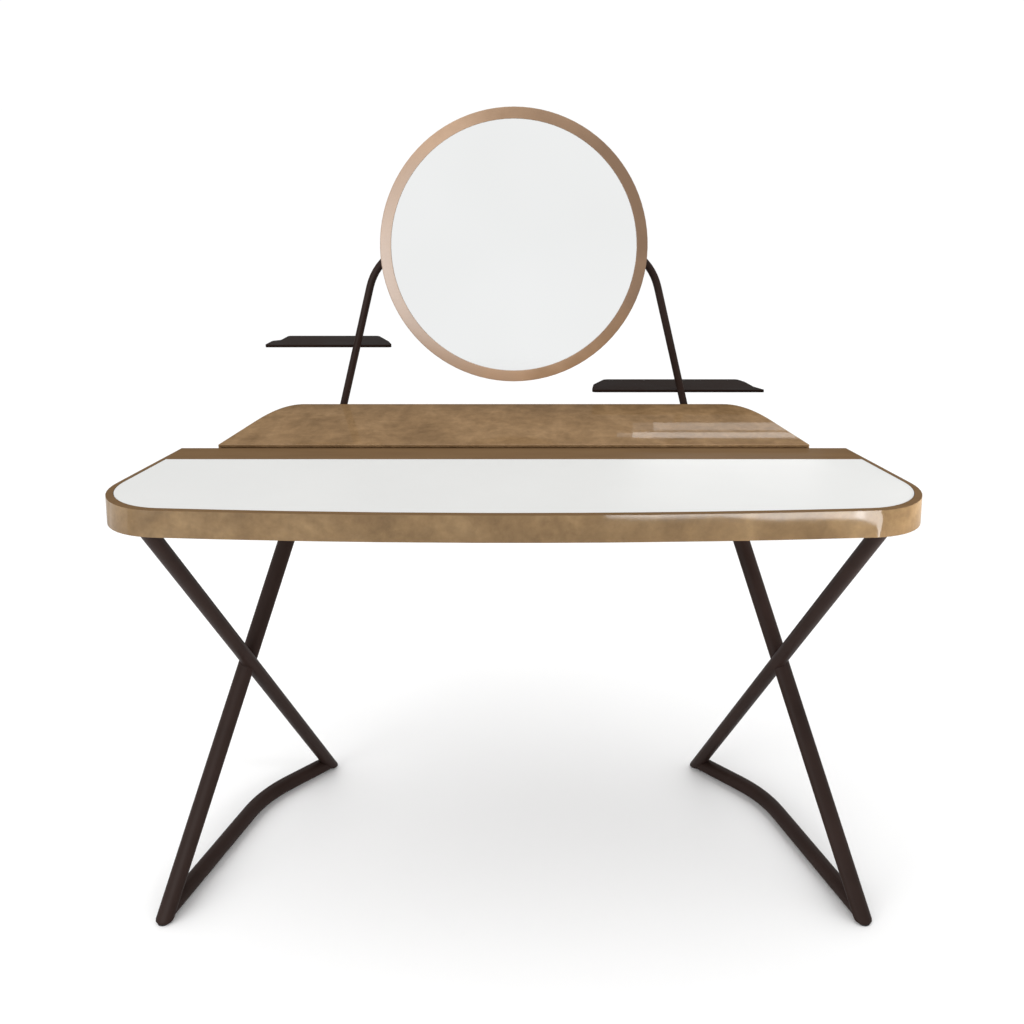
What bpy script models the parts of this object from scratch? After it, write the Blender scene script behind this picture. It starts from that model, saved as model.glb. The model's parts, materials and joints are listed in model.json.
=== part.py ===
"""Vanity table: a tapered top whose front half slides forward over a storage box, two crossed
tube legs, and a round mirror that tilts on a bent tube carrying two small shelves.

Metres, +Z up. The user sits at -Y and looks along +Y, so +X is on the user's right. The origin
is on the floor, at the middle of the plan. Left and right are the user's.
"""

import bmesh
import bpy
from math import atan2, copysign, cos, pi, radians, sin, tan
from mathutils import Matrix, Vector

GAP = 0.0003  # between pieces that touch

# The top: heights
TOP_Z = 0.760  # worktop
RIM_HEIGHT = 0.042
RIM_BOTTOM_Z = TOP_Z - RIM_HEIGHT
DECK_Z = 0.766  # rear deck, a step above the worktop
PANEL_THICK = 0.010
LEDGE_THICK = 0.006
LEDGE_WIDTH = 0.025
LEDGE_BOTTOM_Z = TOP_Z - PANEL_THICK - LEDGE_THICK

# The top: plan of the sliding front half
FRONT_Y = -0.3565
BOW_RADIUS = 6.4
CORNER_RADIUS = 0.100
CORNER_STEPS = 14
SHELL_REAR_Y = -0.0215
SHELL_REAR_HALF = 0.5628
FRONT_TAPER = radians(14.6)
CORNER_FLARE = 0.003  # how far the front corners lean out at the bottom edge
RIM_FRONT = 0.011
RIM_SIDE = 0.0062
RIM_CORNER_RADIUS = 0.098
RIM_WALL = 0.011  # below the ledge
PANEL_REAR_Y = -0.0835
PANEL_GAP = 0.0008

# The top: plan of the fixed rear deck
DECK_FRONT_Y = -0.0212
DECK_FRONT_HALF = 0.5004
DECK_REAR_Y = 0.2540
DECK_REAR_FLAT_HALF = 0.402
DECK_TAPER = radians(11.45)
DECK_CORNER_Y = 0.133  # where the soft rear corner starts on the side
DECK_SKIN = 0.008
DECK_EDGE_RADIUS = 0.0045
SKIRT_WIDTH = 0.009

# Carcass under the top
BASE_TOP_Z = 0.728
BASE_THICK = 0.006
BASE_BOTTOM_Z = BASE_TOP_Z - BASE_THICK
BOX_HALF = 0.400
BOX_FRONT_Y = -0.246
BOX_REAR_Y = -0.040
BOX_BOTTOM_Z = 0.690
BOX_WALL = 0.003
FLANGE_WIDTH = 0.012
FLANGE_THICK = 0.002
DIVIDER_X = 0.135
SLIDE_X = 0.430

# Legs: where each tube's axis meets the mounting plates and the floor
FRONT_TUBE_TOP = (0.5432, -0.3013)
FRONT_TUBE_FOOT = (0.3850, 0.1860)
REAR_TUBE_TOP = (0.3622, 0.1408)
REAR_TUBE_FOOT = (0.5904, -0.2815)
TUBE_BROAD = 0.031
TUBE_NARROW = 0.0235
RUNNER_BEND = (0.4958, 0.0626)
RUNNER_BEND_RADIUS = 0.25
RUNNER_RADIUS = 0.0145
RUNNER_INSET = 0.007  # the runner's ends stop inside the tubes
FOOT_Z = 0.0145  # height at which the tubes pass over their feet points
FOOT_ROUND = 0.006
GLIDE_THICK = 0.002
PLATE_THICK = 0.004
PLATE_SIZE = (0.052, 0.034)
PLATE_INSET = (0.014, 0.008)

# Mirror support and shelves
POST_Y = 0.2695
POST_RADIUS = 0.0072
BAR_Z = 1.066
POST_TOP_X = 0.2471  # where the straight post would meet the crossbar's height
POST_LEAN = 0.268  # inward run for each metre of height
POST_BEND_RADIUS = 0.107
POST_FOOT_Z = 0.726
SHELF_THICK = 0.005
SHELF_FRONT_Y = POST_Y - 0.002
SHELF_REAR_Y = 0.3565
LEFT_SHELF_Z = 0.878
RIGHT_SHELF_Z = 0.7906

# Mirror
MIRROR_TILT = radians(6.0)
RING_OUTER = 0.2429
RING_INNER = 0.2226
RING_WALL = 0.0034
RING_LIP = 0.003
RING_FRONT = 0.040  # in front of the crossbar's axis
RING_DEPTH = 0.0145
RING_DROP = 0.007  # below the pivot, along the glass
GLASS_THICK = 0.004
BACK_THICK = 0.005
SADDLE_X = 0.110
SADDLE_SIZE = (0.030, 0.036)
CAP_THICK = 0.0125


def clear_scene():
    for obj in list(bpy.data.objects):
        bpy.data.objects.remove(obj, do_unlink=True)


def collection(name):
    group = bpy.data.collections.new(name)
    bpy.context.scene.collection.children.link(group)
    return group


def material(name, color, roughness, metallic=0.0):
    mat = bpy.data.materials.new(name)
    mat.use_nodes = True
    shader = mat.node_tree.nodes["Principled BSDF"]
    shader.inputs["Base Color"].default_value = (*color, 1.0)
    shader.inputs["Roughness"].default_value = roughness
    shader.inputs["Metallic"].default_value = metallic
    mat.diffuse_color = (*color, 1.0)
    return mat


clear_scene()
TABLE = collection("vanity_table")
CUTTERS = collection("cutters")
BRONZE = material("bronze", (0.30, 0.21, 0.12), 0.38, 0.8)
WHITE = material("white_top", (0.82, 0.83, 0.82), 0.35)
DARK_STEEL = material("dark_steel", (0.045, 0.030, 0.027), 0.45, 0.3)
COPPER = material("copper_ring", (0.48, 0.31, 0.20), 0.35, 0.9)
GLASS = material("mirror_glass", (0.82, 0.83, 0.83), 0.08, 1.0)
BOARD = material("dark_board", (0.10, 0.075, 0.055), 0.6)
STEEL = material("bare_steel", (0.45, 0.45, 0.46), 0.3, 1.0)
NYLON = material("nylon", (0.02, 0.02, 0.02), 0.6)


def place(obj, name, mat, group=None):
    """Name an object, give it its material and move it into its collection."""
    obj.name = name
    obj.data.name = name
    obj.data.materials.clear()
    obj.data.materials.append(mat)
    for owner in list(obj.users_collection):
        owner.objects.unlink(obj)
    (group or TABLE).objects.link(obj)
    return obj


def meshed(curve_object):
    """Turn a curve object into a welded mesh object at the same place."""
    depsgraph = bpy.context.evaluated_depsgraph_get()
    mesh = bpy.data.meshes.new_from_object(curve_object.evaluated_get(depsgraph))
    weld = bmesh.new()
    weld.from_mesh(mesh)
    bmesh.ops.remove_doubles(weld, verts=weld.verts, dist=0.00001)
    weld.to_mesh(mesh)
    weld.free()
    obj = bpy.data.objects.new(curve_object.name, mesh)
    obj.matrix_world = curve_object.matrix_world.copy()
    bpy.context.scene.collection.objects.link(obj)
    bpy.data.objects.remove(curve_object, do_unlink=True)
    return obj


def prism(name, outline, low, high, mat, group=None):
    """A flat outline in plan, extruded from height low to height high."""
    curve = bpy.data.curves.new(name, "CURVE")
    curve.dimensions = "2D"
    curve.fill_mode = "BOTH"
    curve.extrude = (high - low) / 2
    spline = curve.splines.new("POLY")
    spline.points.add(len(outline) - 1)
    for point, (x, y) in zip(spline.points, outline):
        point.co = (x, y, 0.0, 1.0)
    spline.use_cyclic_u = True
    obj = bpy.data.objects.new(name, curve)
    obj.location.z = (high + low) / 2
    bpy.context.scene.collection.objects.link(obj)
    bpy.context.view_layer.update()
    return place(meshed(obj), name, mat, group)


def loft(name, lower, upper, low, high, mat):
    """A solid between two outlines with the same number of points."""
    mesh = bpy.data.meshes.new(name)
    count = len(lower)
    middle = (low + high) / 2
    points = [(x, y, low - middle) for x, y in lower] + [(x, y, high - middle) for x, y in upper]
    faces = [tuple(reversed(range(count))), tuple(range(count, 2 * count))]
    for i in range(count):
        after = (i + 1) % count
        faces.append((i, after, count + after, count + i))
    mesh.from_pydata(points, [], faces)
    obj = bpy.data.objects.new(name, mesh)
    obj.location.z = middle
    bpy.context.scene.collection.objects.link(obj)
    bpy.context.view_layer.update()
    return place(obj, name, mat)


def box(name, low, high, mat, group=None):
    bpy.ops.mesh.primitive_cube_add(size=1.0)
    obj = bpy.context.object
    obj.location = (Vector(low) + Vector(high)) / 2
    obj.scale = Vector(high) - Vector(low)
    bpy.context.view_layer.update()
    return place(obj, name, mat, group)


def rod(name, start, end, radius, mat, group=None, sides=24):
    """A straight round bar between two points."""
    start = Vector(start)
    along = Vector(end) - start
    bpy.ops.mesh.primitive_cylinder_add(vertices=sides, radius=radius, depth=along.length)
    obj = bpy.context.object
    obj.location = start + along / 2
    obj.rotation_euler = along.to_track_quat("Z", "Y").to_euler()
    bpy.context.view_layer.update()
    obj.data.shade_smooth()
    obj.data.set_sharp_from_angle(angle=radians(40))
    return place(obj, name, mat, group)


def turned(name, profile, steps, mat):
    """A profile of (radius, height) pairs, run down its outer side, turned about local Z."""
    mesh = bpy.data.meshes.new(name)
    points = [(radius, 0.0, height) for radius, height in profile]
    edges = [(i, i + 1) for i in range(len(points) - 1)]
    if profile[0][0] > 0:
        edges.append((len(points) - 1, 0))
    mesh.from_pydata(points, edges, [])
    obj = bpy.data.objects.new(name, mesh)
    bpy.context.scene.collection.objects.link(obj)
    screw = obj.modifiers.new("turn", "SCREW")
    screw.steps = steps
    screw.render_steps = steps
    screw.use_merge_vertices = True
    screw.merge_threshold = 0.00001
    screw.use_smooth_shade = False
    return place(obj, name, mat)


def combine(obj, other, operation="DIFFERENCE"):
    """Boolean with a cutter, or with a copy of another part, applied straight away."""
    modifier = obj.modifiers.new("combine", "BOOLEAN")
    modifier.operation = operation
    modifier.object = other
    bpy.context.view_layer.update()
    depsgraph = bpy.context.evaluated_depsgraph_get()
    mesh = bpy.data.meshes.new_from_object(obj.evaluated_get(depsgraph))
    obj.modifiers.clear()
    obj.data = mesh
    return obj


def cut(obj, *cutters):
    """Take the cutters away from an object and put them out of sight."""
    for cutter in cutters:
        combine(obj, cutter)
        cutter.hide_render = True
        cutter.display_type = "WIRE"
    return obj


def soften(obj, width, segments=1, angle=50):
    bevel = obj.modifiers.new("edges", "BEVEL")
    bevel.width = width
    bevel.segments = segments
    bevel.limit_method = "ANGLE"
    bevel.angle_limit = radians(angle)
    bevel.use_clamp_overlap = True
    return obj


def round_rim(obj, height, radius, segments=3):
    """Round the sharp edges that lie at one world height."""
    mesh = obj.data
    local = height - obj.location.z
    weights = mesh.attributes.new("bevel_weight_edge", "FLOAT", "EDGE")
    for edge in mesh.edges:
        ends = [mesh.vertices[i].co.z for i in edge.vertices]
        weights.data[edge.index].value = float(all(abs(z - local) < 1e-5 for z in ends))
    bevel = obj.modifiers.new("round", "BEVEL")
    bevel.width = radius
    bevel.segments = segments
    bevel.limit_method = "WEIGHT"
    bevel.use_clamp_overlap = True
    return obj


def arc(centre, radius, start, end, count):
    """Points on an arc between two angles, both ends included."""
    step = (end - start) / (count - 1)
    return [
        (centre[0] + radius * cos(start + i * step), centre[1] + radius * sin(start + i * step))
        for i in range(count)
    ]


def soft_corner(begin, vertex, end, count):
    """A quadratic curve from begin to end that is tangent to the two sides at the vertex."""
    points = []
    for i in range(count):
        t = i / (count - 1)
        a, b, c = (1 - t) ** 2, 2 * t * (1 - t), t * t
        points.append(tuple(a * p + b * v + c * q for p, v, q in zip(begin, vertex, end)))
    return points


def both_sides(right_half):
    """Close an outline from its right half, listed from the middle of the front to the rear."""
    left_half = [(-x, y) for x, y in reversed(right_half) if x > 1e-6]
    return right_half + left_half


def rounded(corners, count=6):
    """An outline from (x, y, radius) corners, each rounded by an arc-like soft corner."""
    points = []
    for i, (x, y, radius) in enumerate(corners):
        here = Vector((x, y))
        before = Vector(corners[i - 1][:2]) - here
        after = Vector(corners[(i + 1) % len(corners)][:2]) - here
        if radius == 0:
            points.append((x, y))
            continue
        reach = min(radius / tan(before.angle(after) / 2), 0.45 * min(before.length, after.length))
        begin = here + before.normalized() * reach
        end = here + after.normalized() * reach
        points += soft_corner(begin[:], here[:], end[:], count)
    return points


def front_outline(side_inset, front_inset, corner, rear_y, flare=0.0):
    """Plan of the sliding half: bowed front, round corners and tapering sides."""
    normal = Vector((cos(FRONT_TAPER), sin(FRONT_TAPER)))
    along = Vector((-sin(FRONT_TAPER), cos(FRONT_TAPER)))
    side = Vector((SHELL_REAR_HALF, SHELL_REAR_Y)) - normal * side_inset
    bow_centre = Vector((0.0, FRONT_Y + BOW_RADIUS))
    bow = BOW_RADIUS - front_inset
    start = side - normal * corner - bow_centre
    mid = start.dot(along)
    reach = mid * mid - (start.length_squared - (bow - corner) ** 2)
    centre = bow_centre + start - along * (mid + reach**0.5)
    first = atan2(centre.y - bow_centre.y, centre.x - bow_centre.x)
    front = arc(bow_centre, bow, -pi / 2, first, 12)
    turn = []
    for i in range(1, CORNER_STEPS + 1):
        share = i / CORNER_STEPS
        angle = first + (FRONT_TAPER - first) * share
        radius = corner + flare * sin(pi * share) ** 2
        turn.append((centre.x + radius * cos(angle), centre.y + radius * sin(angle)))
    rear = side + along * ((rear_y - side.y) / along.y)
    return both_sides(front + turn + [(rear.x, rear_y)])


def deck_outline(inset, front_y):
    """Plan of the fixed rear half: tapering sides and long soft rear corners."""
    slope = tan(DECK_TAPER)
    shift = inset / cos(DECK_TAPER)

    def half(y):
        return DECK_FRONT_HALF - shift - slope * (y - DECK_FRONT_Y)

    rear = DECK_REAR_Y - inset
    begin = (half(DECK_CORNER_Y), DECK_CORNER_Y)
    vertex = (half(rear), rear)
    end = (DECK_REAR_FLAT_HALF - shift, rear)
    right = [(half(front_y), front_y)] + soft_corner(begin, vertex, end, 14)
    return both_sides(right)


def make_front_shell():
    """Bronze surround: rim on three sides, wide rear strip, ledge that carries the panel."""
    outer = front_outline(0, 0, CORNER_RADIUS, SHELL_REAR_Y)
    flared = front_outline(0, 0, CORNER_RADIUS, SHELL_REAR_Y, CORNER_FLARE)
    shell = loft("front_shell", flared, outer, RIM_BOTTOM_Z, TOP_Z, BRONZE)
    pocket = prism(
        "cut_panel_pocket",
        front_outline(RIM_SIDE, RIM_FRONT, RIM_CORNER_RADIUS, PANEL_REAR_Y),
        TOP_Z - PANEL_THICK - GAP,
        TOP_Z + 0.01,
        NYLON,
        CUTTERS,
    )
    wall_corner = CORNER_RADIUS - RIM_WALL
    hollow = prism(
        "cut_shell_hollow",
        front_outline(RIM_WALL, RIM_WALL, wall_corner, SHELL_REAR_Y + 0.01),
        RIM_BOTTOM_Z - 0.01,
        LEDGE_BOTTOM_Z,
        NYLON,
        CUTTERS,
    )
    ledge = RIM_WALL + LEDGE_WIDTH
    window = prism(
        "cut_ledge_window",
        front_outline(ledge, ledge, wall_corner - LEDGE_WIDTH, PANEL_REAR_Y - LEDGE_WIDTH),
        LEDGE_BOTTOM_Z - 0.002,
        TOP_Z,
        NYLON,
        CUTTERS,
    )
    cut(shell, pocket, hollow, window)
    soften(shell, 0.0012)


def make_white_panel():
    outline = front_outline(
        RIM_SIDE + PANEL_GAP,
        RIM_FRONT + PANEL_GAP,
        RIM_CORNER_RADIUS - PANEL_GAP,
        PANEL_REAR_Y - PANEL_GAP,
    )
    panel = prism("white_top_panel", outline, TOP_Z - PANEL_THICK, TOP_Z - 0.0004, WHITE)
    soften(panel, 0.0006)


def make_rear_shell():
    """The fixed rear deck with its side and rear skirts, open below and in front."""
    shell = prism("rear_deck_shell", deck_outline(0, DECK_FRONT_Y), RIM_BOTTOM_Z, DECK_Z, BRONZE)
    hollow = prism(
        "cut_deck_hollow",
        deck_outline(SKIRT_WIDTH, DECK_FRONT_Y - 0.01),
        RIM_BOTTOM_Z - 0.01,
        DECK_Z - DECK_SKIN,
        NYLON,
        CUTTERS,
    )
    cut(shell, hollow)
    return round_rim(shell, DECK_Z, DECK_EDGE_RADIUS)


def make_base_panel():
    """The board that ties the legs, the box and the rear shell together."""
    rear = deck_outline(SKIRT_WIDTH + 0.001, DECK_FRONT_Y)
    front = [(0.515, -0.322), (0.562, -0.305), (0.562, -0.280), (0.545, -0.235)]
    right = front + rear[: len(rear) // 2]
    panel = prism("base_panel", both_sides(right), BASE_BOTTOM_Z, BASE_TOP_Z, BOARD)
    opening = box(
        "cut_base_opening",
        (-BOX_HALF - GAP, BOX_FRONT_Y - GAP, BASE_BOTTOM_Z - 0.01),
        (BOX_HALF + GAP, BOX_REAR_Y + GAP, BASE_TOP_Z + 0.01),
        NYLON,
        CUTTERS,
    )
    return cut(panel, opening)


def make_storage_box():
    """An open box hung through the base panel by its flange."""
    walls = box(
        "storage_box",
        (-BOX_HALF, BOX_FRONT_Y, BOX_BOTTOM_Z),
        (BOX_HALF, BOX_REAR_Y, BASE_TOP_Z + GAP + FLANGE_THICK),
        DARK_STEEL,
    )
    flange = box(
        "join_flange",
        (-BOX_HALF - FLANGE_WIDTH, BOX_FRONT_Y - FLANGE_WIDTH, BASE_TOP_Z + GAP),
        (BOX_HALF + FLANGE_WIDTH, BOX_REAR_Y + FLANGE_WIDTH, BASE_TOP_Z + GAP + FLANGE_THICK),
        DARK_STEEL,
        CUTTERS,
    )
    inside = box(
        "cut_box_inside",
        (-BOX_HALF + BOX_WALL, BOX_FRONT_Y + BOX_WALL, BOX_BOTTOM_Z + BOX_WALL),
        (BOX_HALF - BOX_WALL, BOX_REAR_Y - BOX_WALL, TOP_Z),
        NYLON,
        CUTTERS,
    )
    combine(walls, flange, "UNION")
    flange.hide_render = True
    flange.display_type = "WIRE"
    cut(walls, inside)


def make_dividers():
    """Two cross walls that split the box into three compartments."""
    floor = BOX_BOTTOM_Z + BOX_WALL + GAP
    front = BOX_FRONT_Y + BOX_WALL + GAP
    rear = BOX_REAR_Y - BOX_WALL - GAP
    half_wall = BOX_WALL / 2
    for name, x in (("left", -DIVIDER_X), ("right", DIVIDER_X)):
        box(
            f"box_divider_{name}",
            (x - half_wall, front, floor),
            (x + half_wall, rear, BASE_TOP_Z - 0.002),
            DARK_STEEL,
        )


def make_slide(name, sign):
    """One runner: a channel on the base panel and the bar that the front shell rides on."""
    x = sign * SLIDE_X
    low = BASE_TOP_Z + GAP
    channel = box(
        f"slide_channel_{name}",
        (x - 0.010, -0.285, low),
        (x + 0.010, 0.165, low + 0.010),
        STEEL,
    )
    groove = box(
        f"cut_channel_{name}",
        (x - 0.0066, -0.30, low + 0.002),
        (x + 0.0066, 0.21, low + 0.02),
        NYLON,
        CUTTERS,
    )
    cut(channel, groove)
    box(
        f"slide_bar_{name}",
        (x - 0.006, -0.300, low + 0.002 + GAP),
        (x + 0.006, 0.1648, LEDGE_BOTTOM_Z - GAP),
        STEEL,
    )
    box(
        f"slide_stop_{name}",
        (x - 0.010, 0.1655, low),
        (x + 0.010, 0.173, low + 0.016),
        NYLON,
    )


def make_slide_tie():
    """The cross bar that keeps the two runner bars moving together."""
    reach = SLIDE_X - 0.006 - GAP
    low = BASE_TOP_Z + 0.0115
    box("slide_tie", (-reach, 0.140, low), (reach, 0.158, low + 0.006), STEEL)


def leg_tube(name, top, foot, normal, grow, mat, group):
    """An oval tube between two floor-plan points, its broad side along the normal."""
    plate_z = BASE_BOTTOM_Z - GAP - PLATE_THICK
    start = Vector((*foot, FOOT_Z))
    end = Vector((*top, plate_z))
    along = (end - start).normalized()
    broad = (normal - along * normal.dot(along)).normalized()
    narrow = along.cross(broad)
    bpy.ops.mesh.primitive_cylinder_add(vertices=40, radius=0.5, depth=1.0)
    obj = bpy.context.object
    length = (end - start).length + 0.12
    axes = Matrix((broad, narrow, along)).transposed().to_4x4()
    sizes = Matrix.Diagonal((TUBE_BROAD + grow, TUBE_NARROW + grow, length, 1.0))
    obj.data.transform(Matrix.Translation((start + end) / 2) @ axes @ sizes)
    obj.data.shade_smooth()
    obj.data.set_sharp_from_angle(angle=radians(40))
    bpy.context.view_layer.update()
    return place(obj, name, mat, group)


def trim_to_height(obj, low, high):
    """Keep the part of an object between two heights."""
    slab = box(f"keep_{obj.name}", (-1.0, -1.0, low), (1.0, 1.0, high), NYLON, CUTTERS)
    combine(obj, slab, "INTERSECT")
    slab.hide_render = True
    slab.display_type = "WIRE"


def runner_path(sign):
    """Plan points of a floor runner: straight, one bend, straight."""
    start = Vector(REAR_TUBE_FOOT)
    bend = Vector(RUNNER_BEND)
    end = Vector(FRONT_TUBE_FOOT)
    back = (start - bend).normalized()
    ahead = (end - bend).normalized()
    half_turn = (pi - back.angle(ahead)) / 2
    reach = RUNNER_BEND_RADIUS * tan(half_turn)
    middle = (back + ahead).normalized()
    centre = bend + middle * (RUNNER_BEND_RADIUS / cos(half_turn))
    first = bend + back * reach - centre
    last = bend + ahead * reach - centre
    angle = atan2(first.y, first.x)
    turn = atan2(first.cross(last), first.dot(last))
    arc_points = arc(centre, RUNNER_BEND_RADIUS, angle, angle + turn, 9)
    first_point = start - back * RUNNER_INSET
    last_point = end - ahead * RUNNER_INSET
    return [(sign * x, y) for x, y in [first_point[:]] + arc_points + [last_point[:]]]


def tube_along(name, points, radius, mat, resolution=5):
    """A round tube along a list of points, as a welded mesh."""
    curve = bpy.data.curves.new(name, "CURVE")
    curve.dimensions = "3D"
    curve.bevel_depth = radius
    curve.bevel_resolution = resolution
    curve.use_fill_caps = True
    spline = curve.splines.new("POLY")
    spline.points.add(len(points) - 1)
    for point, co in zip(spline.points, points):
        point.co = (*co, 1.0)
    obj = bpy.data.objects.new(name, curve)
    bpy.context.scene.collection.objects.link(obj)
    bpy.context.view_layer.update()
    obj = place(meshed(obj), name, mat)
    obj.data.shade_smooth()
    obj.data.set_sharp_from_angle(angle=radians(40))
    return obj


def make_plate(name, sign, tube_top, base_panel):
    """A mounting plate welded on a tube, with two screws up into the base panel."""
    x = sign * (tube_top[0] - PLATE_INSET[0])
    y = tube_top[1] - copysign(PLATE_INSET[1], tube_top[1])
    high = BASE_BOTTOM_Z - GAP
    low = high - PLATE_THICK
    half_x, half_y = PLATE_SIZE[0] / 2, PLATE_SIZE[1] / 2
    plate = box(
        f"leg_plate_{name}",
        (x - half_x, y - half_y, low),
        (x + half_x, y + half_y, high),
        DARK_STEEL,
    )
    for label, offset in (("a", -0.011), ("b", 0.011)):
        spot = Vector((x - sign * 0.020, y + offset, low))
        make_screw(f"leg_screw_{name}_{label}", spot, Vector((0, 0, 1)), (plate, base_panel), 0.0075)


def make_screw(name, spot, inward, hosts, depth):
    """A pan head screw whose shank goes inward from the spot into holes in its hosts."""
    head, rise, shank = 0.0042, 0.0026, 0.0021
    profile = [
        (0.0, rise),
        (head * 0.75, rise),
        (head, rise * 0.45),
        (head, GAP),
        (shank, GAP),
        (shank, -depth),
        (0.0, -depth),
    ]
    screw = turned(name, profile, 14, STEEL)
    screw.location = spot
    screw.rotation_euler = (-inward).to_track_quat("Z", "Y").to_euler()
    hole = rod(
        f"cut_{name}",
        spot - inward * 0.002,
        spot + inward * (depth + 0.0006),
        shank + GAP,
        NYLON,
        CUTTERS,
        sides=14,
    )
    for host in hosts:
        cut(host, hole)


def make_leg(name, sign, base_panel):
    """One crossed leg: two oval tubes, the floor runner between their feet, plates and glides."""
    mirror = Matrix.Scale(sign, 2, (1, 0))
    tops = {"front": mirror @ Vector(FRONT_TUBE_TOP), "rear": mirror @ Vector(REAR_TUBE_TOP)}
    feet = {"front": mirror @ Vector(FRONT_TUBE_FOOT), "rear": mirror @ Vector(REAR_TUBE_FOOT)}
    drop = -(BASE_BOTTOM_Z - PLATE_THICK)
    run = {key: Vector((*(feet[key] - tops[key]), drop)) for key in tops}
    normal = run["front"].cross(run["rear"]).normalized()
    tube_top = BASE_BOTTOM_Z - PLATE_THICK - 2 * GAP
    tubes = {}
    for key in ("front", "rear"):
        label = f"leg_tube_{key}_{name}"
        tubes[key] = leg_tube(label, tops[key], feet[key], normal, 0.0, DARK_STEEL, TABLE)
        trim_to_height(tubes[key], GLIDE_THICK, tube_top)
    cope = {
        key: leg_tube(
            f"cut_{key}_{name}", tops[key], feet[key], normal, 2 * GAP, NYLON, CUTTERS
        )
        for key in ("front", "rear")
    }
    cut(tubes["rear"], cope["front"])
    for tube in tubes.values():
        round_rim(tube, GLIDE_THICK, FOOT_ROUND)
    path = [(x, y, GLIDE_THICK + RUNNER_RADIUS) for x, y in runner_path(sign)]
    runner = tube_along(f"floor_runner_{name}", path, RUNNER_RADIUS, DARK_STEEL)
    cut(runner, cope["front"], cope["rear"])
    for key in ("front", "rear"):
        make_plate(f"{key}_{name}", sign, (abs(tops[key].x), tops[key].y), base_panel)
        slant = run[key] / run[key].z
        spot = feet[key] - slant.xy * FOOT_Z
        rod(
            f"glide_{key}_tube_{name}",
            (spot.x, spot.y, 0.0),
            (spot.x, spot.y, GLIDE_THICK - GAP),
            0.0095,
            NYLON,
            sides=20,
        )


def post_path(sign):
    """The axis of a post: up from its foot, then bent inward to the crossbar's height."""
    up = Vector((-POST_LEAN, 1.0)).normalized()
    corner = Vector((POST_TOP_X, BAR_Z))
    half_turn = (pi / 2 - atan2(POST_LEAN, 1.0)) / 2
    reach = POST_BEND_RADIUS * tan(half_turn)
    foot = corner - up * ((BAR_Z - POST_FOOT_Z) / up.y)
    centre = (corner.x - reach, BAR_Z - POST_BEND_RADIUS)
    bend = arc(centre, POST_BEND_RADIUS, pi / 2 - 2 * half_turn, pi / 2, 14)
    points = [foot[:]] + bend + [(centre[0] - 0.015, BAR_Z)]
    return [(sign * x, POST_Y, z) for x, z in points]


def post_at(height):
    """Distance of the post's axis from the middle at a height below its bend."""
    return POST_TOP_X + POST_LEAN * (BAR_Z - height)


def post_cutter(name, sign, low, high, grow):
    return rod(
        name,
        (sign * post_at(low), POST_Y, low),
        (sign * post_at(high), POST_Y, high),
        POST_RADIUS + grow,
        NYLON,
        CUTTERS,
        sides=28,
    )


def make_mirror_support(rear_shell):
    """Two bent posts, the crossbar between them and the clamps on the rear skirt."""
    for name, sign in (("left", -1), ("right", 1)):
        path = post_path(sign)
        tube_along(f"mirror_post_{name}", path, POST_RADIUS, DARK_STEEL)
        low, high = POST_FOOT_Z - 0.002, DECK_Z - 0.012
        middle = sign * post_at((low + high) / 2)
        clamp = box(
            f"post_clamp_{name}",
            (middle - 0.030, DECK_REAR_Y + GAP, low),
            (middle + 0.030, POST_Y + 0.012, high),
            DARK_STEEL,
        )
        cut(clamp, post_cutter(f"cut_clamp_{name}", sign, low - 0.02, high + 0.02, GAP))
        for label, offset in (("inner", -0.021), ("outer", 0.021)):
            spot = Vector((middle + sign * offset, POST_Y + 0.012, (low + high) / 2))
            make_screw(
                f"clamp_screw_{label}_{name}",
                spot,
                Vector((0, -1, 0)),
                (clamp, rear_shell),
                0.034,
            )
    reach = abs(post_path(1)[-1][0]) - GAP
    bar = rod(
        "mirror_crossbar", (-reach, POST_Y, BAR_Z), (reach, POST_Y, BAR_Z), POST_RADIUS, DARK_STEEL
    )
    return bar


def make_shelf(name, sign, corners, top):
    """A thin plate notched around its post, with a small gusset below it, behind the post."""
    low = top - SHELF_THICK
    plate = prism(f"shelf_{name}", rounded(corners), low, top, DARK_STEEL)
    cut(plate, post_cutter(f"cut_shelf_{name}", sign, low - 0.03, top + 0.03, GAP))
    centre = sign * post_at(low - 0.005)
    box(
        f"shelf_gusset_{name}",
        (centre - 0.004, POST_Y + POST_RADIUS + GAP, low - 0.010),
        (centre + 0.004, POST_Y + 0.024, low - GAP),
        DARK_STEEL,
    )


def make_shelves():
    front, rear = SHELF_FRONT_Y, SHELF_REAR_Y
    left = [
        (-0.4725, front, 0.004),
        (-0.2310, front, 0.006),
        (-0.2410, front + 0.034, 0.03),
        (-0.2660, rear, 0.010),
        (-0.4434, rear, 0.006),
        (-0.4510, rear - 0.042, 0.010),
        (-0.4660, rear - 0.050, 0.012),
    ]
    right = [
        (0.1500, front, 0.008),
        (0.4825, front, 0.002),
        (0.4660, front + 0.027, 0.02),
        (0.4560, front + 0.069, 0.02),
        (0.4450, rear, 0.010),
        (0.1800, rear, 0.012),
        (0.1560, front + 0.045, 0.03),
    ]
    make_shelf("left", -1, left, LEFT_SHELF_Z)
    make_shelf("right", 1, right, RIGHT_SHELF_Z)


def on_mirror(obj, pivot, location=(0.0, 0.0, 0.0)):
    """Hang an object on the mirror's pivot: local +Z faces the user, +Y is up the glass."""
    obj.parent = pivot
    obj.location = location
    bpy.context.view_layer.update()
    return obj


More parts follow.
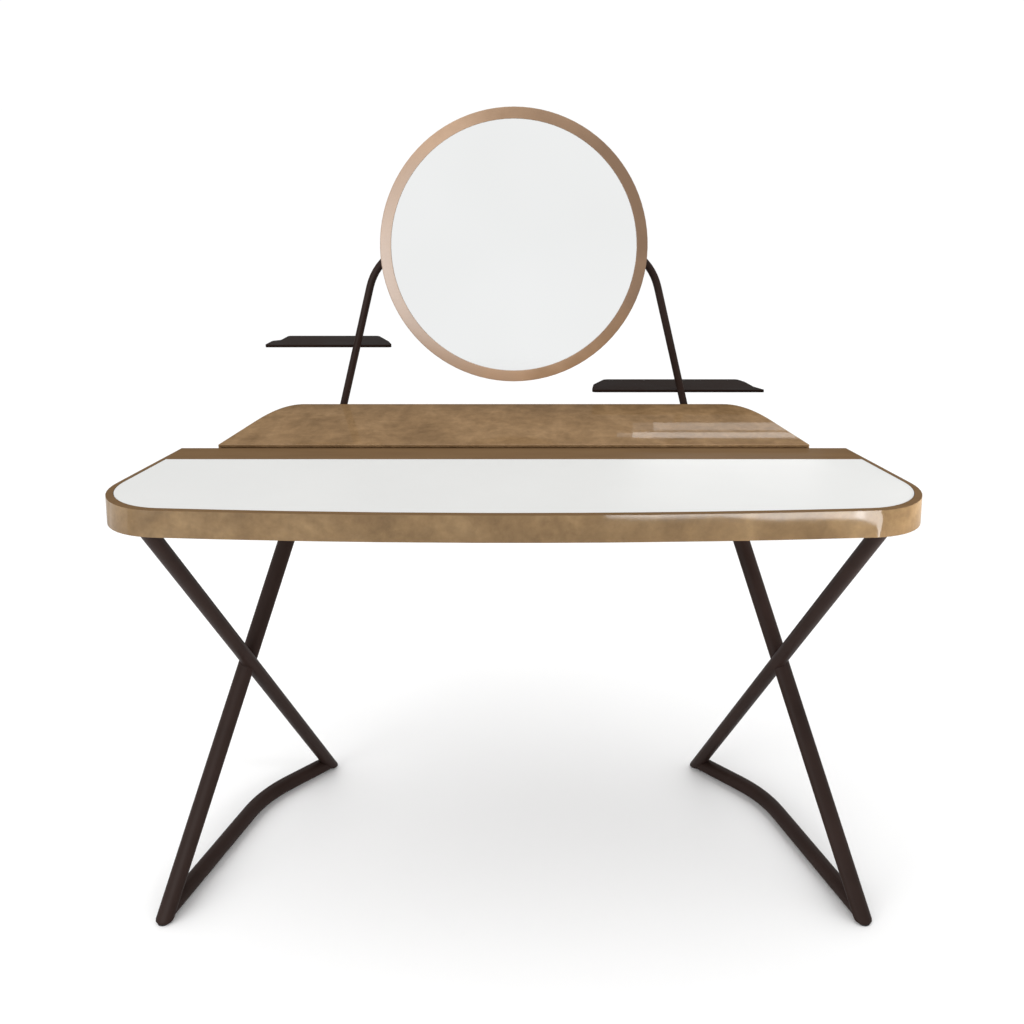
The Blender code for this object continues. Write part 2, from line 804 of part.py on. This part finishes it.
def make_mirror(bar):
    """Ring, glass and back board on two clamps that turn about the crossbar."""
    pivot = bpy.data.objects.new("mirror_pivot", None)
    TABLE.objects.link(pivot)
    pivot.location = (0.0, POST_Y, BAR_Z)
    pivot.rotation_euler = (pi / 2 - MIRROR_TILT, 0.0, 0.0)
    front = RING_FRONT
    lip = front - RING_LIP
    inner_wall = RING_OUTER - RING_WALL
    ring_back = front - RING_DEPTH
    ring = turned(
        "mirror_ring",
        [
            (RING_OUTER - 0.0015, front),
            (RING_OUTER, front - 0.0015),
            (RING_OUTER, ring_back),
            (inner_wall, ring_back),
            (inner_wall, lip),
            (RING_INNER, lip),
            (RING_INNER, front - 0.0006),
            (RING_INNER + 0.0006, front),
        ],
        96,
        COPPER,
    )
    on_mirror(ring, pivot, (0.0, -RING_DROP, 0.0))
    glass_front = lip - GAP
    glass_back = glass_front - GLASS_THICK
    board_front = glass_back - GAP
    board_back = board_front - BACK_THICK
    for name, high, low, mat in (
        ("mirror_glass", glass_front, glass_back, GLASS),
        ("mirror_back", board_front, board_back, BOARD),
    ):
        radius = inner_wall - 0.0006
        disc = turned(name, [(0.0, high), (radius, high), (radius, low), (0.0, low)], 96, mat)
        on_mirror(disc, pivot, (0.0, -RING_DROP, 0.0))
    half_x, half_y = SADDLE_SIZE[0] / 2, SADDLE_SIZE[1] / 2
    for name, x in (("left", -SADDLE_X), ("right", SADDLE_X)):
        blocks = {}
        for kind, low, high in (
            ("hinge_saddle", GAP, board_back - GAP),
            ("hinge_cap", -CAP_THICK, -GAP),
        ):
            block = box(
                f"{kind}_{name}", (-half_x, -half_y, low), (half_x, half_y, high), DARK_STEEL
            )
            middle = (low + high) / 2
            blocks[kind] = on_mirror(block, pivot, (x, 0.0, middle))
            sleeve = rod(
                f"cut_{kind}_{name}",
                (x - half_x - 0.01, POST_Y, BAR_Z),
                (x + half_x + 0.01, POST_Y, BAR_Z),
                POST_RADIUS + GAP,
                NYLON,
                CUTTERS,
            )
            cut(block, sleeve)
        make_knob(f"friction_knob_{name}", x, half_y, blocks, pivot)


def make_knob(name, x, half_y, blocks, pivot):
    """A round knob that pulls the cap and saddle together to hold the mirror's tilt."""
    grip, rise, shank, depth = 0.0075, 0.009, 0.0024, 0.018
    y = half_y - 0.0055
    base = -CAP_THICK - GAP
    profile = [
        (0.0, depth - CAP_THICK),
        (shank, depth - CAP_THICK),
        (shank, base),
        (grip, base),
        (grip, base - rise + 0.001),
        (grip - 0.001, base - rise),
        (0.0, base - rise),
    ]
    knob = turned(name, profile, 24, STEEL)
    on_mirror(knob, pivot, (x, y, 0.0))
    hole = rod(
        f"cut_{name}", (0, 0, -0.03), (0, 0, depth - CAP_THICK + 0.0006), shank + GAP, NYLON, CUTTERS
    )
    hole.parent = pivot
    middle = (-0.03 + depth - CAP_THICK + 0.0006) / 2
    hole.location = (x, y, middle)
    bpy.context.view_layer.update()
    cut(blocks["hinge_saddle"], hole)
    cut(blocks["hinge_cap"], hole)


make_front_shell()
make_white_panel()
rear_shell = make_rear_shell()
base_panel = make_base_panel()
make_storage_box()
make_dividers()
for side_name, side_sign in (("left", -1), ("right", 1)):
    make_slide(side_name, side_sign)
    make_leg(side_name, side_sign, base_panel)
make_slide_tie()
crossbar = make_mirror_support(rear_shell)
make_shelves()
make_mirror(crossbar)
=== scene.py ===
"""Looks of the vanity table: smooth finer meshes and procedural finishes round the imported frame.

Metres, +Z up. The user sits at -Y and looks along +Y.
"""

import json
from math import radians

import bmesh
import bpy
from mathutils import Matrix, Quaternion, Vector

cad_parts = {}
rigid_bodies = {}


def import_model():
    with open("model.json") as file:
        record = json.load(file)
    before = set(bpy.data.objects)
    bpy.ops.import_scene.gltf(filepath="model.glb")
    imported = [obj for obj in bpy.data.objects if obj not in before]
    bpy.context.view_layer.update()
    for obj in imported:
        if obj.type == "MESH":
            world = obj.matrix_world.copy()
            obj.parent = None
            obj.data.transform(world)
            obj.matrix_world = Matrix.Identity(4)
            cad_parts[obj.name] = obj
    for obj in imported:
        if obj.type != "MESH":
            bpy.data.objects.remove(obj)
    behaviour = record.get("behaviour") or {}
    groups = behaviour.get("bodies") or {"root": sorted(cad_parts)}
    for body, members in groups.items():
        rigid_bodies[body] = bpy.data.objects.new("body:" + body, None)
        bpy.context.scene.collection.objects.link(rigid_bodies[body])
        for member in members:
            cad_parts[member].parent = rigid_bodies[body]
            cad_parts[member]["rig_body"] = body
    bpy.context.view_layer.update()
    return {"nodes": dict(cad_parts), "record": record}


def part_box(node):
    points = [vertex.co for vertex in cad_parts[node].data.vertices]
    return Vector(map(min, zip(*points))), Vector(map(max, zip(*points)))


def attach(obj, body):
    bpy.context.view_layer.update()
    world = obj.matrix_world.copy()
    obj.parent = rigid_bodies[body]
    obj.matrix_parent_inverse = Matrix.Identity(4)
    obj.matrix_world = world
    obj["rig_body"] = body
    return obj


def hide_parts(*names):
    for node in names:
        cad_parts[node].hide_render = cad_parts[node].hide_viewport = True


WELD_DISTANCE = 0.00002
FLAT_ANGLE = radians(0.5)  # faces that meet flatter than this are one face
SOFT_WEIGHT = 80
FLAT_WEIGHT = 100  # keeps the shading of large flat faces level up to their edges

STEP_FOOT = 0.7595  # the deck's front edge shows above this height, over the worktop
RING_TILT = radians(6.0)  # the mirror leans back by this much at rest
RING_FALL = 0.0036  # the ring's outer edge lies this far behind its inner edge
RING_FACE_DEPTH = 0.0016  # points this close to the ring's foremost point are on its face

FLOOR_SIZE = 400.0
WORLD_STRENGTH = 1.04
DECK_TOP = 0.766
STREAK_CARD_Y = 0.255  # the cards mirrored in the deck stand in front of the mirror's posts

CAMERA_PLACE = (0.0, -1.8825, 1.3141)
CAMERA_PITCH = 19.806  # degrees below level
LENS_MM = 40.22
SENSOR_MM = 36.0
LENS_SHIFT = (-0.0018, 0.0005)

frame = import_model()
NODES = frame["nodes"]
SLOTS = {part["node"]: part["material_slot"] for part in frame["record"]["subparts"]}


# Shader building blocks


def add(tree, kind, inputs=None, **settings):
    """A new node; inputs maps socket names to values or to the sockets they are linked from."""
    node = tree.nodes.new(kind)
    for name, value in settings.items():
        setattr(node, name, value)
    for name, value in (inputs or {}).items():
        if isinstance(value, bpy.types.NodeSocket):
            tree.links.new(value, node.inputs[name])
        else:
            node.inputs[name].default_value = value
    return node


def new_material(name, **constants):
    """A Principled material, with constant inputs given by socket name (_ for a space)."""
    material = bpy.data.materials.new(name)
    material.use_nodes = True
    shader = material.node_tree.nodes["Principled BSDF"]
    for socket, value in constants.items():
        shader.inputs[socket.replace("_", " ")].default_value = value
    return material, material.node_tree, shader


def noise(tree, scale, detail=4.0, roughness=0.5, distortion=0.0, stretch=(1, 1, 1)):
    """Noise in the object's own space, about 0 to 1."""
    place = add(tree, "ShaderNodeTexCoord").outputs["Object"]
    mapped = add(tree, "ShaderNodeMapping", {"Vector": place, "Scale": stretch}).outputs[0]
    inputs = {
        "Vector": mapped,
        "Scale": scale,
        "Detail": detail,
        "Roughness": roughness,
        "Distortion": distortion,
    }
    return add(tree, "ShaderNodeTexNoise", inputs).outputs[0]


def ramp(tree, value, *stops):
    """Colours at (position, (r, g, b)) stops along a value."""
    node = add(tree, "ShaderNodeValToRGB", {"Fac": value})
    elements = node.color_ramp.elements
    while len(elements) < len(stops):
        elements.new(0.5)
    for element, (position, color) in zip(elements, stops):
        element.position = position
        element.color = (*color, 1.0)
    return node.outputs[0]


def spread(tree, value, low, high, start=0.3, end=0.7):
    """A value between start and end mapped to low to high."""
    inputs = {"Value": value, "From Min": start, "From Max": end, "To Min": low, "To Max": high}
    return add(tree, "ShaderNodeMapRange", inputs).outputs[0]


def mix(tree, factor, first, second, kind="MIX"):
    inputs = {"Fac": factor, "Color1": first, "Color2": second}
    return add(tree, "ShaderNodeMixRGB", inputs, blend_type=kind).outputs[0]


def bump(tree, shader, height, strength, distance):
    inputs = {"Height": height, "Strength": strength, "Distance": distance}
    node = add(tree, "ShaderNodeBump", inputs)
    tree.links.new(node.outputs[0], shader.inputs["Normal"])


# Finishes


def bronze_lacquer(name, dark, middle_tone, light, **constants):
    """Hand-rubbed metallic lacquer: soft clouds, finer mottling and short rubbing marks."""
    material, tree, shader = new_material(name, **constants)
    clouds = noise(tree, 9.0, 5.0, 0.6, 0.4, (1.3, 0.7, 1.6))
    mottle = noise(tree, 42.0, 5.0, 0.65, 0.3)
    rubbed = noise(tree, 110.0, 4.0, 0.6, 0.0, (1.0, 0.45, 1.0))
    base = ramp(tree, clouds, (0.30, dark), (0.50, middle_tone), (0.70, light))
    fine = ramp(tree, mottle, (0.32, (0.70, 0.68, 0.66)), (0.66, (1.16, 1.16, 1.15)))
    marks = ramp(tree, rubbed, (0.35, (0.90, 0.90, 0.89)), (0.65, (1.07, 1.07, 1.06)))
    color = mix(tree, 0.55, base, fine, "MULTIPLY")
    tree.links.new(mix(tree, 0.6, color, marks, "MULTIPLY"), shader.inputs["Base Color"])
    tree.links.new(spread(tree, mottle, 0.50, 0.62), shader.inputs["Roughness"])
    bump(tree, shader, mottle, 0.06, 0.0008)
    return material


def deck_bronze():
    return bronze_lacquer(
        "deck_bronze",
        dark=(0.168, 0.102, 0.050),
        middle_tone=(0.226, 0.140, 0.070),
        light=(0.282, 0.179, 0.093),
        IOR=1.0,
        Coat_Weight=0.05,
        Coat_Roughness=0.05,
    )


def rim_bronze():
    """The same lacquer, polished further, on the upright faces of the sliding half."""
    return bronze_lacquer(
        "rim_bronze",
        dark=(0.146, 0.089, 0.040),
        middle_tone=(0.194, 0.121, 0.056),
        light=(0.238, 0.154, 0.075),
        IOR=1.0,
        Coat_Weight=0.5,
        Coat_Roughness=0.06,
    )


def bronze_plain(name, dark, light):
    """Smooth, evenly toned upper faces; also the paler painted highlight on the deck's front edge.
    """
    material, tree, shader = new_material(name, IOR=1.03)
    grain = noise(tree, 60.0, 3.0, 0.5, 0.0, (0.15, 1.0, 1.0))
    tone = ramp(tree, grain, (0.3, dark), (0.7, light))
    tree.links.new(tone, shader.inputs["Base Color"])
    tree.links.new(spread(tree, grain, 0.44, 0.52), shader.inputs["Roughness"])
    return material


def white_surface():
    material, tree, shader = new_material("white_surface", IOR=1.15)
    tint = noise(tree, 5.0, 3.0)
    tone = ramp(tree, tint, (0.3, (0.588, 0.590, 0.580)), (0.7, (0.606, 0.607, 0.596)))
    tree.links.new(tone, shader.inputs["Base Color"])
    grain = noise(tree, 700.0, 2.0)
    tree.links.new(spread(tree, grain, 0.42, 0.52), shader.inputs["Roughness"])
    bump(tree, shader, grain, 0.05, 0.0002)
    return material


def dark_paint(name, ior, dark, light):
    """Satin powder coat: dark brown with a fine orange-peel surface."""
    material, tree, shader = new_material(name, IOR=ior)
    patches = noise(tree, 12.0, 3.0)
    tone = ramp(tree, patches, (0.3, dark), (0.7, light))
    tree.links.new(tone, shader.inputs["Base Color"])
    peel = noise(tree, 900.0, 2.0)
    tree.links.new(spread(tree, patches, 0.44, 0.54), shader.inputs["Roughness"])
    bump(tree, shader, peel, 0.12, 0.0003)
    return material


def brushed_copper():
    """Copper-coloured metal brushed in circles round the mirror's centre, with a painted
    highlight: its colour grows lighter towards the lower left.
    """
    material, tree, shader = new_material(
        "brushed_copper", IOR=1.2, Coat_Weight=1.0, Coat_Roughness=0.44, Coat_IOR=1.6
    )
    place = add(tree, "ShaderNodeTexCoord").outputs["Object"]
    flat = add(tree, "ShaderNodeVectorMath", {0: place, 1: (1, 1, 0)}, operation="MULTIPLY")
    reach = add(tree, "ShaderNodeVectorMath", {0: flat.outputs[0]}, operation="LENGTH")
    rings = add(
        tree,
        "ShaderNodeTexNoise",
        {"W": reach.outputs["Value"], "Scale": 1400.0, "Detail": 3.0},
        noise_dimensions="1D",
    ).outputs[0]
    outward = add(tree, "ShaderNodeVectorMath", {0: flat.outputs[0]}, operation="NORMALIZE")
    # painted highlight: how far each point lies towards the ring's lower left, the side the
    # left-hand light falls on
    painted_highlight_side = add(
        tree,
        "ShaderNodeVectorMath",
        {0: outward.outputs[0], 1: (-0.95, -0.30, 0.0)},
        operation="DOT_PRODUCT",
    ).outputs["Value"]
    patches = noise(tree, 14.0, 3.0)
    painted_highlight_and_patches = add(tree, "ShaderNodeMath", {0: painted_highlight_side, 1: patches}, operation="ADD").outputs[0]
    # base colour runs from dark on the right to light on the lower left (painted highlight), mixed
    # with random patches
    base = ramp(
        tree,
        spread(tree, painted_highlight_and_patches, 0.0, 1.0, -0.5, 1.5),
        (0.02, (0.160, 0.082, 0.033)),
        (0.35, (0.250, 0.142, 0.068)),
        (0.65, (0.400, 0.252, 0.152)),
        (0.98, (0.340, 0.232, 0.162)),
    )
    lines = ramp(tree, rings, (0.3, (0.90, 0.90, 0.90)), (0.7, (1.08, 1.08, 1.08)))
    tree.links.new(mix(tree, 0.8, base, lines, "MULTIPLY"), shader.inputs["Base Color"])
    tree.links.new(spread(tree, rings, 0.27, 0.36), shader.inputs["Roughness"])
    bump(tree, shader, rings, 0.10, 0.0002)
    return material


def silvered_glass():
    material, tree, shader = new_material("silvered_glass", Metallic=1.0)
    haze = noise(tree, 3.0, 2.0)
    tone = ramp(tree, haze, (0.3, (0.805, 0.812, 0.808)), (0.7, (0.832, 0.840, 0.838)))
    tree.links.new(tone, shader.inputs["Base Color"])
    tree.links.new(spread(tree, haze, 0.015, 0.035), shader.inputs["Roughness"])
    return material


def dark_board():
    material, tree, shader = new_material("dark_board", Roughness=0.65)
    fibre = noise(tree, 120.0, 4.0, 0.6, 0.0, (0.25, 1.0, 1.0))
    tone = ramp(tree, fibre, (0.3, (0.060, 0.043, 0.032)), (0.7, (0.095, 0.070, 0.052)))
    tree.links.new(tone, shader.inputs["Base Color"])
    bump(tree, shader, fibre, 0.10, 0.0004)
    return material


def bare_steel():
    material, tree, shader = new_material("bare_steel", Metallic=1.0)
    drawn = noise(tree, 220.0, 3.0, 0.5, 0.0, (1.0, 0.05, 1.0))
    tone = ramp(tree, drawn, (0.3, (0.40, 0.40, 0.41)), (0.7, (0.52, 0.52, 0.53)))
    tree.links.new(tone, shader.inputs["Base Color"])
    tree.links.new(spread(tree, drawn, 0.24, 0.36), shader.inputs["Roughness"])
    return material


def black_nylon():
    material, tree, shader = new_material("black_nylon")
    grain = noise(tree, 500.0, 2.0)
    tone = ramp(tree, grain, (0.3, (0.016, 0.016, 0.016)), (0.7, (0.026, 0.026, 0.026)))
    tree.links.new(tone, shader.inputs["Base Color"])
    tree.links.new(spread(tree, grain, 0.5, 0.62), shader.inputs["Roughness"])
    return material


def studio_floor():
    material, tree, shader = new_material("studio_floor", Roughness=0.9)
    faint = noise(tree, 0.6, 2.0)
    tone = ramp(tree, faint, (0.3, (0.975, 0.975, 0.975)), (0.7, (0.985, 0.985, 0.985)))
    tree.links.new(tone, shader.inputs["Base Color"])
    return material


FINISHES = {
    "bronze_lacquer": deck_bronze(),
    "white_solid_surface": white_surface(),
    "dark_steel": dark_paint("dark_paint", 1.15, (0.021, 0.0120, 0.0095), (0.029, 0.0170, 0.0140)),
    "copper_brushed": brushed_copper(),
    "mirror_glass": silvered_glass(),
    "dark_board": dark_board(),
    "bare_steel": bare_steel(),
    "black_nylon": black_nylon(),
}
RIM_FINISH = rim_bronze()
STRIP_FINISH = bronze_plain("strip_bronze", (0.190, 0.134, 0.092), (0.210, 0.149, 0.104))
RIM_TOP_FINISH = bronze_plain("rim_top_bronze", (0.138, 0.082, 0.040), (0.158, 0.096, 0.048))
# painted highlight: a paler bronze on the deck's front edge, standing in for light caught on its
# rounded edge
EDGE_HIGHLIGHT_FINISH = bronze_plain("edge_painted_highlight", (0.30, 0.205, 0.130), (0.34, 0.235, 0.150))
SHELF_FINISH = dark_paint("flat_paint", 1.05, (0.0125, 0.0072, 0.0055), (0.0180, 0.0105, 0.0080))


# Finer meshes


def refined(node, sharp=60.0, origin=None, finish=None, join=True, flat=False):
    """A smoothly shaded stand-in for a CAD node, welded, with its flat faces joined.

    sharp is the angle in degrees from which edges stay sharp, and origin the place and turn of
    the piece's own space. join=False keeps the facets of flat faces, and flat=True is for pieces
    with large flat faces.
    """
    source = NODES[node]
    work = bmesh.new()
    work.from_mesh(source.data)
    bmesh.ops.remove_doubles(work, verts=work.verts, dist=WELD_DISTANCE)
    if join:
        bmesh.ops.dissolve_limit(
            work, angle_limit=FLAT_ANGLE, verts=work.verts, edges=work.edges, delimit={"NORMAL"}
        )
    mesh = bpy.data.meshes.new(f"{node}_fine")
    work.to_mesh(mesh)
    work.free()
    mesh.materials.append(finish or FINISHES[SLOTS[node]])
    for polygon in mesh.polygons:
        polygon.material_index = 0
    mesh.shade_smooth()
    mesh.set_sharp_from_angle(angle=radians(sharp))
    piece = bpy.data.objects.new(f"{node}_fine", mesh)
    bpy.context.scene.collection.objects.link(piece)
    if origin is not None:
        mesh.transform(origin.inverted())
        piece.matrix_world = origin
    normals = piece.modifiers.new("normals", "WEIGHTED_NORMAL")
    normals.keep_sharp = True
    normals.weight = FLAT_WEIGHT if flat else SOFT_WEIGHT
    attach(piece, source["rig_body"])
    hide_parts(node)
    return piece


def dish_ring(ring):
    """Tilt the ring's front face outward, so each side faces a little its own way."""
    reach = [vertex.co.xy.length for vertex in ring.data.vertices]
    front = max(vertex.co.z for vertex in ring.data.vertices)
    inner, outer = min(reach), max(reach)
    for vertex, radius in zip(ring.data.vertices, reach):
        if vertex.co.z > front - RING_FACE_DEPTH:
            vertex.co.z -= RING_FALL * (radius - inner) / (outer - inner)


def middle(node):
    """The middle of a CAD node's box."""
    low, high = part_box(node)
    return (Vector(low) + Vector(high)) / 2


for name, obj in NODES.items():
    for slot in obj.material_slots:
        slot.material = FINISHES[SLOTS[name]]

for name in NODES:
    if name.startswith(("leg_tube", "floor_runner", "mirror_post", "mirror_crossbar")):
        refined(name, sharp=50.0)
    elif name.startswith(("hinge", "post_clamp")):
        refined(name, sharp=40.0)
    elif name.startswith("shelf"):
        refined(name, sharp=40.0, finish=SHELF_FINISH)


def make_deck():
    """The fixed rear half, with a painted highlight: its front edge along the step over the
    worktop is coloured paler.
    """
    deck = refined("rear_deck_shell", flat=True)
    deck.data.materials.append(EDGE_HIGHLIGHT_FINISH)
    for polygon in deck.data.polygons:
        faces_front = polygon.normal.y < -0.2 and polygon.normal.z > -0.1
        # front-facing faces above STEP_FOOT get the painted highlight colour
        if faces_front and polygon.center.z > STEP_FOOT:
            polygon.material_index = 1


def make_shell():
    """The sliding surround: its rear strip and the top of its rim are coloured apart, the rim top
    darker and warmer than the strip.
    """
    shell = refined("front_shell", finish=RIM_FINISH, flat=True)
    shell.data.materials.append(STRIP_FINISH)
    shell.data.materials.append(RIM_TOP_FINISH)
    panel_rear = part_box("white_top_panel")[1][1]
    for polygon in shell.data.polygons:
        if polygon.normal.z > 0.5:
            polygon.material_index = 1 if polygon.center.y > panel_rear else 2


def make_mirror():
    """The ring and the glass share a space centred on the ring, with +Z out of its face."""
    upright = Matrix.Rotation(radians(90) - RING_TILT, 4, "X")
    place = Matrix.Translation(middle("mirror_ring")) @ upright
    dish_ring(refined("mirror_ring", sharp=35.0, origin=place, join=False))
    refined("mirror_glass", origin=place)


make_deck()
refined("white_top_panel")
make_shell()
make_mirror()


# Studio


def make_floor():
    mesh = bpy.data.meshes.new("studio_floor")
    half = FLOOR_SIZE / 2
    corners = [(-half, -half, 0), (half, -half, 0), (half, half, 0), (-half, half, 0)]
    mesh.from_pydata(corners, [], [(0, 1, 2, 3)])
    mesh.materials.append(studio_floor())
    floor = bpy.data.objects.new("studio_floor", mesh)
    bpy.context.scene.collection.objects.link(floor)


def area_light(name, place, target, size, power, roll=0.0):
    data = bpy.data.lights.new(name, "AREA")
    data.shape = "RECTANGLE"
    data.size, data.size_y = size
    data.energy = power
    light = bpy.data.objects.new(name, data)
    light.location = place
    aim = (Vector(target) - Vector(place)).to_track_quat("-Z", "Y")
    light.rotation_mode = "QUATERNION"
    light.rotation_quaternion = aim @ Quaternion((0, 0, 1), radians(roll))
    light.visible_camera = False
    bpy.context.scene.collection.objects.link(light)
    return light


def gleam(*settings, **options):
    """A light that only shows as a reflection, like a bright card beside the set."""
    area_light(*settings, **options).visible_diffuse = False


def deck_gleam(name, x, height, streak_y, size, power):
    """A low card behind the deck, mirrored in it as a pale streak along x."""
    gleam(name, (x, STREAK_CARD_Y, height), (x, streak_y, DECK_TOP), size, power)


def make_camera():
    data = bpy.data.cameras.new("camera")
    data.lens = LENS_MM
    data.sensor_width = SENSOR_MM
    data.shift_x, data.shift_y = LENS_SHIFT
    camera = bpy.data.objects.new("camera", data)
    camera.location = CAMERA_PLACE
    camera.rotation_euler = (radians(90 - CAMERA_PITCH), 0.0, 0.0)
    bpy.context.scene.collection.objects.link(camera)
    bpy.context.scene.camera = camera


def make_world():
    world = bpy.data.worlds.new("studio")
    world.use_nodes = True
    background = world.node_tree.nodes["Background"]
    background.inputs["Color"].default_value = (1.0, 1.0, 1.0, 1.0)
    background.inputs["Strength"].default_value = WORLD_STRENGTH
    bpy.context.scene.world = world
    bpy.context.scene.view_settings.view_transform = "Standard"


def make_lights():
    area_light("key_left", (-2.3, -2.6, 1.1), (0.0, 0.2, 0.95), (1.6, 1.8), 30)
    area_light("top_soft", (0.0, -0.4, 3.2), (0.0, -0.1, 0.0), (3.0, 2.4), 20)
    fill = area_light("right_fill", (1.25, -0.55, 0.80), (0.6, -0.28, 0.74), (0.25, 0.12), 0.95)
    fill.data.spread = radians(50)
    fill.visible_glossy = False
    gleam("ring_gleam", (-1.35, -2.0, 0.90), (0.0, 0.2, 1.06), (1.4, 1.4), 34)
    gleam("corner_gleam", (-2.0, -0.1, 0.30), (-0.6, -0.1, 0.74), (1.5, 0.35), 1.5)
    deck_gleam("deck_gleam_far", 0.435, 0.811, 0.09, (0.33, 0.0152), 0.16)
    deck_gleam("deck_gleam_far_tip", 0.42, 0.811, 0.09, (0.38, 0.0152), 0.05)
    deck_gleam("deck_gleam_near", 0.415, 0.828, 0.04, (0.37, 0.0109), 0.22)
    deck_gleam("deck_gleam_near_tip", 0.40, 0.828, 0.04, (0.40, 0.008), 0.05)
    gleam("rim_gleam", (0.621, -1.3, 0.426), (0.621, -0.35, 0.7665), (0.735, 0.04), 1.6, roll=-3.7)
    gleam("rim_gleam_end", (1.11, -1.3, 0.36), (1.11, -0.34, 0.74), (0.28, 0.09), 1.3, roll=-30)


make_world()
make_floor()
make_lights()
make_camera()
